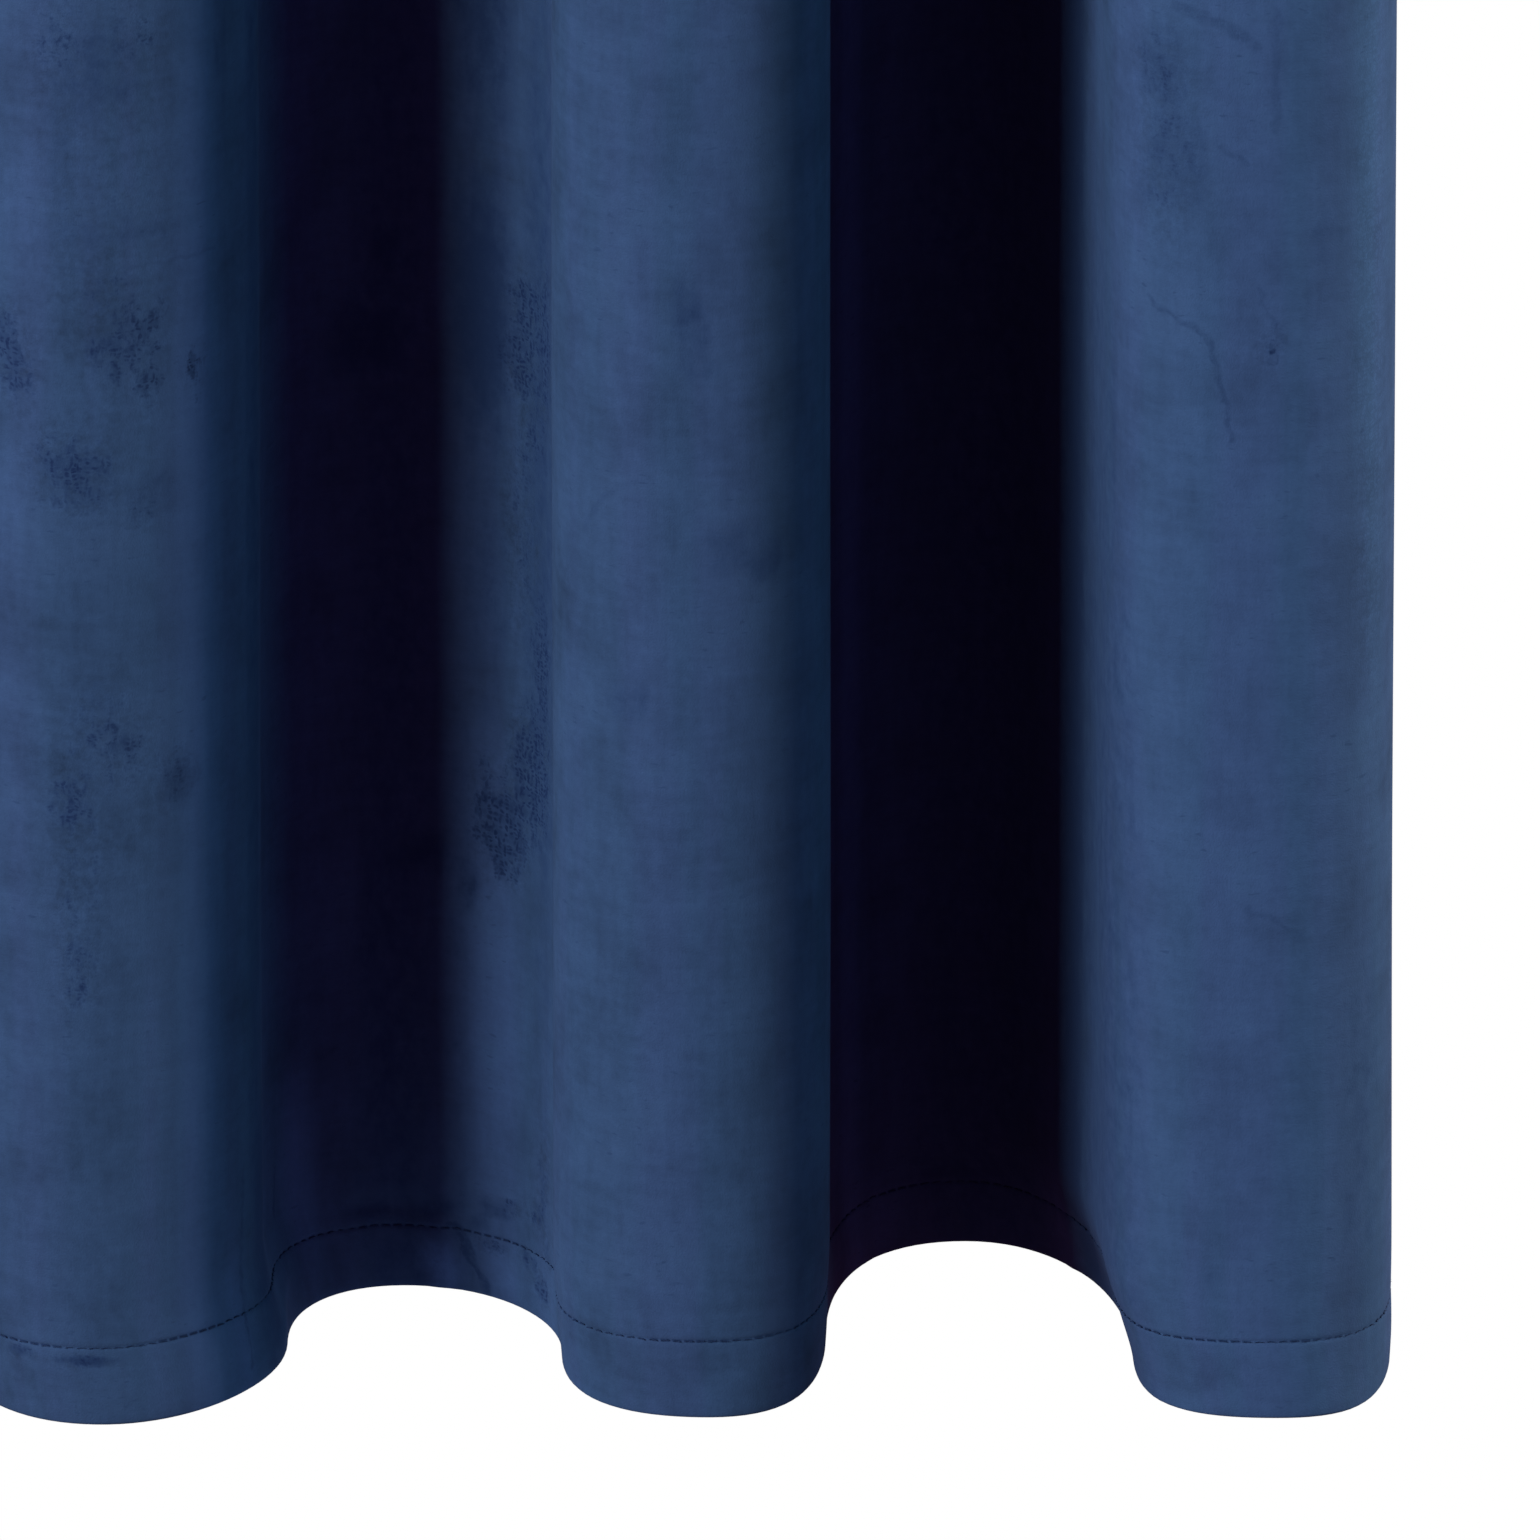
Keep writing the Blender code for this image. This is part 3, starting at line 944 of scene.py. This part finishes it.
def pileClothMaterial(cloth):
    material, desk = newMaterial("pileCloth")
    steps, amounts = pileSteps, pileAmounts
    flat = desk.flatPlace()
    noise = {name: desk.cloud(flat, *numbers) for name, numbers in pileNoise.items()}
    streaks, crossStreaks, mottle = noise["streaks"], noise["crossStreaks"], noise["mottle"]
    ragged = noise["ragged"] - 0.5
    crushedMark = desk.pointValue("crushed")
    brushedAndShadeMark = desk.pointValue("brushedAndShade")
    wobbled = flat + (noise["wander"] - 0.5) * amounts["wander"]
    wobbled = wobbled + (noise["shiver"] - 0.5) * amounts["shiver"]

    # crushed marks, where the weave shows through
    imprint = weaveShowing(desk, wobbled, "dots").most(weaveShowing(desk, wobbled, "dashes"))
    breaks = ragged * amounts["raggedReach"] * crushedMark.between(*steps["crushedFoot"])
    reach = crushedMark + breaks + (mottle - 0.5) * amounts["mottledReach"]
    reach = reach.between(*steps["reach"])
    bold = (crushedMark + ragged * amounts["raggedBold"]).between(*steps["bold"])
    strength = reach * amounts["imprint"] + bold * amounts["boldImprint"]
    crushed = imprint * (strength + amounts["imprintEverywhere"])

    # brushed clouds and painted shade, dark lines, the threads between the crushed marks, and
    # flecks
    breaks = (mottle - 0.5) * amounts["mottledCloud"] + ragged * amounts["raggedCloud"]
    cloudsAndShade = (brushedAndShadeMark + breaks) * brushedAndShadeMark.between(*steps["brushedAndShadeFoot"])
    faintest = amounts["faintestLine"]
    breaks = noise["speckle"].between(*steps["brokenLine"]) * (1 - faintest)
    lines = drawnLines(desk, wobbled, cloth) * (breaks + faintest)
    fill = crossStreaks * amounts["fill"] + streaks * amounts["fill"] - amounts["fillLoss"]
    patches = mottle.between(*steps["fleckPatches"])
    flecks = noise["flecks"].between(*steps["flecks"]) * patches * amounts["flecks"]
    brushedAndShade = cloudsAndShade.most(lines).most(reach * fill).most(flecks)

    # tone and shade
    violet = noise["bands"].between(*steps["violet"])
    tone = desk.blend(violet, pileColours["blue"], pileColours["violet"])
    tone = desk.blend(mottle.between(*steps["slate"]), tone, pileColours["slate"])
    rough = crushedMark.between(*steps["worn"]) * amounts["wornRough"] + amounts["rough"]
    shade = 1 + (noise["speckle"] - 0.5) * rough + ragged * rough
    for name, amount in pileShade.items():
        shade = shade + (noise[name] - 0.5) * amount
    # painted glints: light specks on the weave marks
    glint = imprint * desk.pointValue("paintedGlint") * amounts["glint"]
    # painted light, with a few lighter swaths of pile, and the painted glints raise the shade
    shade = shade + desk.pointValue("lighter") * amounts["lighter"] + glint
    tone = tone * desk.node("ShaderNodeCombineXYZ", {}, {0: shade, 1: shade, 2: shade})
    # brushed pile and painted shade take the darker brushed colour
    colour = desk.blend(brushedAndShade.between(0.0, 1.0), tone, pileColours["brushedAndShade"])
    colour = desk.blend(crushed, colour, pileColours["crushed"])
    # painted shade along the sewn line, in the crushed colour
    sewn = sewnShade(desk, flat, noise["seamChange"])
    colour = desk.blend(sewn, colour, pileColours["crushed"])

    height = noise["grain"] * amounts["grainHeight"] + streaks * amounts["streakHeight"]
    desk.finishSurface({
        "Base Color": colour,
        "Roughness": amounts["roughness"] - crushed * amounts["crushedGloss"],
        "Specular IOR Level": 0.12,
        "Sheen Weight": 0.12,
        "Sheen Roughness": 0.45,
        "Sheen Tint": (0.35, 0.55, 0.95, 1),
        "Normal": desk.bump(height, amounts["bump"], amounts["bumpDepth"]),
    })
    return material


backColours = {"light": (0.040, 0.064, 0.112, 1), "dark": (0.022, 0.038, 0.075, 1)}
backNoise = {"mottle": (1.0, 1.0, 30.0, 4.0, 0.5), "slub": (1.0, 0.04, 700.0, 2.0, 0.5)}
backWeave = {
    "pitch": 0.8 * mm,
    "threads": 0.45,  # how much the threads, mottle and slubs darken the weave
    "mottle": 0.5,
    "slub": 0.5,
    "darkest": 0.2,
    "roughness": 0.78,
    "mottledRoughness": 0.1,
    "slubHeight": 0.4,
    "bump": 0.4,
    "bumpDepth": 0.2 * mm,
}


def clothBackMaterial():
    material, desk = newMaterial("clothBack")
    flat = desk.flatPlace()
    turns = 2 * math.pi / backWeave["pitch"]
    weave = (flat.part("X") * turns).sine() * (flat.part("Y") * turns).sine() * 0.5 + 0.5
    mottle = desk.cloud(flat, *backNoise["mottle"]) - 0.5
    slub = desk.cloud(flat, *backNoise["slub"])
    share = weave * backWeave["threads"] + mottle * backWeave["mottle"]
    share = share + (slub - 0.5) * backWeave["slub"] + backWeave["darkest"]
    colour = desk.blend(share.between(0.0, 1.0), backColours["light"], backColours["dark"])
    height = weave + slub * backWeave["slubHeight"]
    desk.finishSurface({
        "Base Color": colour,
        "Roughness": mottle * backWeave["mottledRoughness"] + backWeave["roughness"],
        "Specular IOR Level": 0.2,
        "Normal": desk.bump(height, backWeave["bump"], backWeave["bumpDepth"]),
    })
    return material


threadColours = {"light": (0.013, 0.034, 0.105, 1), "dark": (0.008, 0.022, 0.070, 1)}
threadLook = {
    "fibreScale": 2600.0,
    "fibreStep": (0.35, 0.65),
    "roughness": 0.6,
    "fibreRoughness": 0.15,
    "bump": 0.3,
    "bumpDepth": 0.1 * mm,
}


def threadMaterial():
    material, desk = newMaterial("sewingThread")
    place = desk.node("ShaderNodeTexCoord", {}, {}, output="Object")
    inputs = {"Vector": place, "Scale": threadLook["fibreScale"], "Detail": 1.0}
    fibre = desk.node("ShaderNodeTexNoise", {}, inputs)
    share = fibre.between(*threadLook["fibreStep"])
    desk.finishSurface({
        "Base Color": desk.blend(share, threadColours["light"], threadColours["dark"]),
        "Roughness": fibre * threadLook["fibreRoughness"] + threadLook["roughness"],
        "Specular IOR Level": 0.2,
        "Normal": desk.bump(fibre, threadLook["bump"], threadLook["bumpDepth"]),
    })
    return material


# Studio: pale floor, soft lights, and the camera at the photograph's angle.

studio = {
    "floorSize": 90.0,
    "floorGap": 0.03,  # the hem hangs this far over the floor
    "floorGlow": 1.0,
    "fillLight": (0.110, 0.033, 0.056, 1),  # what little light reaches into the folds
}

# Each softbox: turn from the front towards the right, tilt up, distance, width,
# height, power and colour. All aim at the middle of the panel.
Softbox = namedtuple("Softbox", "name turn tilt distance wide tall power colour")
softboxes = (
    Softbox("leftFront", -52, 12, 5.0, 1.9, 3.0, 281, (0.94, 0.99, 0.98)),
    Softbox("rightSide", 92, 8, 4.0, 1.1, 3.0, 160, (1.0, 0.94, 0.80)),
    Softbox("rightFront", 62, 8, 4.0, 1.4, 3.0, 27, (0.3, 1.0, 1.0)),
    Softbox("rearLeft", -140, 15, 4.5, 1.6, 2.6, 150, (1.0, 1.0, 1.0)),
    Softbox("rearRight", 165, 20, 4.5, 1.6, 2.6, 110, (1.0, 1.0, 1.0)),
)
floorBounce = {  # light from the floor into the lower ends of the folds
    "wide": 0.24,
    "deep": 0.10,
    "behind": -10 * mm,
    "power": 0.018,
    "colour": (0.4, 0.8, 1.0),
}


def makeFloor():
    material, desk = newMaterial("paleFloor")
    inputs = {"Color": (1, 1, 1, 1), "Strength": studio["floorGlow"]}
    glow = desk.node("ShaderNodeEmission", {}, inputs)
    desk.node("ShaderNodeOutputMaterial", {}, {"Surface": glow})
    half = studio["floorSize"] / 2
    low = -clothSizes["drop"] - studio["floorGap"]
    mesh = bpy.data.meshes.new("floor")
    corners = [(-half, -half, low), (half, -half, low), (half, half, low), (-half, half, low)]
    mesh.from_pydata(corners, [], [(0, 1, 2, 3)])
    mesh.materials.append(material)
    floor = addToScene("floor", mesh)
    floor.visible_diffuse = False  # it shows white and throws no light into the folds
    floor.visible_glossy = False
    floor.visible_shadow = False


def setWorld():
    world = bpy.data.worlds.new("studio")
    world.use_nodes = True
    desk = NodeDesk(world.node_tree)
    seen = desk.node("ShaderNodeLightPath", {}, {}, output="Is Camera Ray")
    colour = desk.blend(seen, studio["fillLight"], (1, 1, 1, 1))
    light = desk.node("ShaderNodeBackground", {}, {"Color": colour, "Strength": 1.0})
    desk.node("ShaderNodeOutputWorld", {}, {"Surface": light})
    bpy.context.scene.world = world


def awayFromPanel(turn, tilt):  # direction, turned from the front and tilted up
    across = math.sin(turn) * math.cos(tilt)
    return Vector((across, -math.cos(turn) * math.cos(tilt), math.sin(tilt)))


def lookBack(away):
    return (-away).to_track_quat("-Z", "Y").to_euler()


def makeAreaLight(name, size, power, colour, place, turn):
    light = bpy.data.lights.new(name, "AREA")
    light.shape = "RECTANGLE"
    light.size, light.size_y = size
    light.energy = power
    light.color = colour
    lamp = addToScene(name, light)
    lamp.location = place
    lamp.rotation_euler = turn
    lamp.visible_camera = False


def setLights():
    aim = Vector((0.0, 0.0, -clothSizes["drop"] / 2))
    for box in softboxes:
        away = awayFromPanel(math.radians(box.turn), math.radians(box.tilt))
        place = aim + away * box.distance
        size = (box.wide, box.tall)
        makeAreaLight(box.name, size, box.power, box.colour, place, lookBack(away))
    size = (floorBounce["wide"], floorBounce["deep"])
    low = -clothSizes["drop"] - studio["floorGap"] / 2
    place = (0.0, floorBounce["behind"], low)
    upward = (math.pi, 0.0, 0.0)
    makeAreaLight("floorBounce", size, floorBounce["power"], floorBounce["colour"], place, upward)
    print("lights:", len(softboxes) + 1)


photoView = {
    "pictureSize": 1540,  # pixels each way
    "pixelSize": 0.33 * mm,  # cloth width that one pixel shows
    "panelMiddle": 395,  # pixel column of the panel's middle, at X = 0
    "frontHemRow": 1421,  # pixel row of the hem at the front folds
    "elevation": 25,  # degrees down
    "lens": 1500.0,
    "sensor": 36.0,
    "farthest": 200.0,  # metres from the camera
}


def setCamera():
    centre = photoView["pictureSize"] / 2
    tilt = math.radians(photoView["elevation"])
    overHem = (photoView["frontHemRow"] - centre) * photoView["pixelSize"] / math.cos(tilt)
    aim = Vector((
        (centre - photoView["panelMiddle"]) * photoView["pixelSize"],
        -clothSizes["hangingLine"],
        overHem - clothSizes["drop"],
    ))
    width = photoView["pictureSize"] * photoView["pixelSize"]
    # the hem is a little further off than the point aimed at, and a pixel is true there
    distance = width * photoView["lens"] / photoView["sensor"] - overHem * math.sin(tilt)
    away = awayFromPanel(0.0, tilt)
    lens = bpy.data.cameras.new("photoCamera")
    lens.lens = photoView["lens"]
    lens.sensor_width = photoView["sensor"]
    lens.clip_end = photoView["farthest"]
    camera = addToScene("photoCamera", lens)
    camera.location = aim + away * distance
    camera.rotation_euler = lookBack(away)
    bpy.context.scene.camera = camera
    bpy.context.scene.view_settings.view_transform = "Standard"
    bpy.context.scene.view_settings.look = "None"


setCamera()
print("camera set")
setWorld()
setLights()
makeFloor()
hungCloth = HungCloth()
print("flat width:", round(hungCloth.width, 4))
curtain = makeCloth(hungCloth)
frontStitching = sewHems("frontStitching", hungCloth, onFront=True)
backStitching = sewHems("backStitching", hungCloth, onFront=False)
for piece in (curtain, frontStitching, backStitching):
    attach(piece, "root")
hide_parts("curtain_panel")
print("pieces placed")
